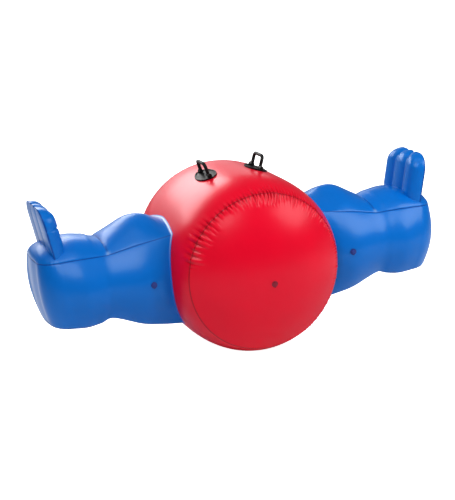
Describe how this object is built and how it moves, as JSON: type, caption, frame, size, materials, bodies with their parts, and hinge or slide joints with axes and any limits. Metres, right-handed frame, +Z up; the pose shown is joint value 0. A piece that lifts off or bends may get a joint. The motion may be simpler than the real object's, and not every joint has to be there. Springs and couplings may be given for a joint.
{
  "type": "inflatable water seesaw",
  "caption": "Inflatable water seesaw: a barrel drum that rocks, with a riding arm, backrest and grab handle on each side, and push-in valves.",
  "frame": {"origin": "centre of the object's box in plan, at the flat that the drum's soft wall makes where it rests", "axes": "+X along the right arm, +Y along the drum's axis away from the capped front, +Z up"},
  "size_m": [2.359, 1.1483, 1.0594],
  "materials": {
    "red_film": "glossy heat-welded PVC film",
    "blue_film": "glossy heat-welded PVC film",
    "black_rubber": "moulded, satin",
    "black_rubber_grip": "moulded, satin",
    "valve_vinyl": "soft moulded vinyl"
  },
  "bodies": {
    "root": {"drum_front_cap": "red_film", "drum_rear_cap": "red_film", "drum_valve_seat": "valve_vinyl", "drum_wall": "red_film", "left_arm_bottom_panel": "blue_film", "left_arm_inner_end": "blue_film", "left_arm_side_wall": "blue_film", "left_arm_top_panel": "blue_film", "left_arm_waist_baffle": "blue_film", "left_arm_weld_flange": "blue_film", "left_backrest_front_panel": "blue_film", "left_backrest_rear_panel": "blue_film", "left_backrest_webs": "blue_film", "left_backrest_weld_flange": "blue_film", "left_handle_pad": "black_rubber", "left_valve_seat": "valve_vinyl", "right_arm_bottom_panel": "blue_film", "right_arm_inner_end": "blue_film", "right_arm_side_wall": "blue_film", "right_arm_top_panel": "blue_film", "right_arm_waist_baffle": "blue_film", "right_arm_weld_flange": "blue_film", "right_backrest_front_panel": "blue_film", "right_backrest_rear_panel": "blue_film", "right_backrest_webs": "blue_film", "right_backrest_weld_flange": "blue_film", "right_handle_pad": "black_rubber", "right_valve_seat": "valve_vinyl"},
    "drum_valve_flap": {"drum_valve_flap": "valve_vinyl"},
    "drum_valve_plug": {"drum_valve_plug": "valve_vinyl"},
    "drum_valve_stem": {"drum_valve_stem": "valve_vinyl"},
    "left_handle_grip": {"left_handle_grip": "black_rubber_grip"},
    "left_valve_flap": {"left_valve_flap": "valve_vinyl"},
    "left_valve_plug": {"left_valve_plug": "valve_vinyl"},
    "left_valve_stem": {"left_valve_stem": "valve_vinyl"},
    "right_handle_grip": {"right_handle_grip": "black_rubber_grip"},
    "right_valve_flap": {"right_valve_flap": "valve_vinyl"},
    "right_valve_plug": {"right_valve_plug": "valve_vinyl"},
    "right_valve_stem": {"right_valve_stem": "valve_vinyl"}
  },
  "joints": [
    {"name": "right_handle_fold", "type": "hinge", "parent": "root", "child": "right_handle_grip", "pos_m": [0.15486, 0, 0.98696], "axis": [0, 1, 0], "range_deg": [-65, 65], "stiffness_Nm_per_rad": 0.4},
    {"name": "left_handle_fold", "type": "hinge", "parent": "root", "child": "left_handle_grip", "pos_m": [-0.15486, 0, 0.98696], "axis": [0, 1, 0], "range_deg": [-65, 65], "stiffness_Nm_per_rad": 0.4},
    {"name": "drum_valve_pull_out", "type": "slide", "parent": "root", "child": "drum_valve_stem", "axis": [0, -0.9992, -0.0401], "range_m": [0, 0.018]},
    {"name": "drum_valve_plug_pull", "type": "slide", "parent": "drum_valve_stem", "child": "drum_valve_plug", "axis": [0, -0.9992, -0.0401], "range_m": [0, 0.012]},
    {"name": "drum_valve_flap_hinge", "type": "hinge", "parent": "drum_valve_stem", "child": "drum_valve_flap", "pos_m": [0, -0.54248, 0.47595], "axis": [1, 0, 0], "range_deg": [0, 60], "stiffness_Nm_per_rad": 0.001},
    {"name": "right_valve_pull_out", "type": "slide", "parent": "root", "child": "right_valve_stem", "axis": [0, -0.9982, 0.0595], "range_m": [0, 0.018]},
    {"name": "right_valve_plug_pull", "type": "slide", "parent": "right_valve_stem", "child": "right_valve_plug", "axis": [0, -0.9982, 0.0595], "range_m": [0, 0.012]},
    {"name": "right_valve_flap_hinge", "type": "hinge", "parent": "right_valve_stem", "child": "right_valve_flap", "pos_m": [0.59374, -0.28402, 0.49507], "axis": [1, 0, 0], "range_deg": [0, 60], "stiffness_Nm_per_rad": 0.001},
    {"name": "left_valve_pull_out", "type": "slide", "parent": "root", "child": "left_valve_stem", "axis": [0, -0.9982, 0.0595], "range_m": [0, 0.018]},
    {"name": "left_valve_plug_pull", "type": "slide", "parent": "left_valve_stem", "child": "left_valve_plug", "axis": [0, -0.9982, 0.0595], "range_m": [0, 0.012]},
    {"name": "left_valve_flap_hinge", "type": "hinge", "parent": "left_valve_stem", "child": "left_valve_flap", "pos_m": [-0.59374, -0.28402, 0.49507], "axis": [1, 0, 0], "range_deg": [0, 60], "stiffness_Nm_per_rad": 0.001}
  ]
}
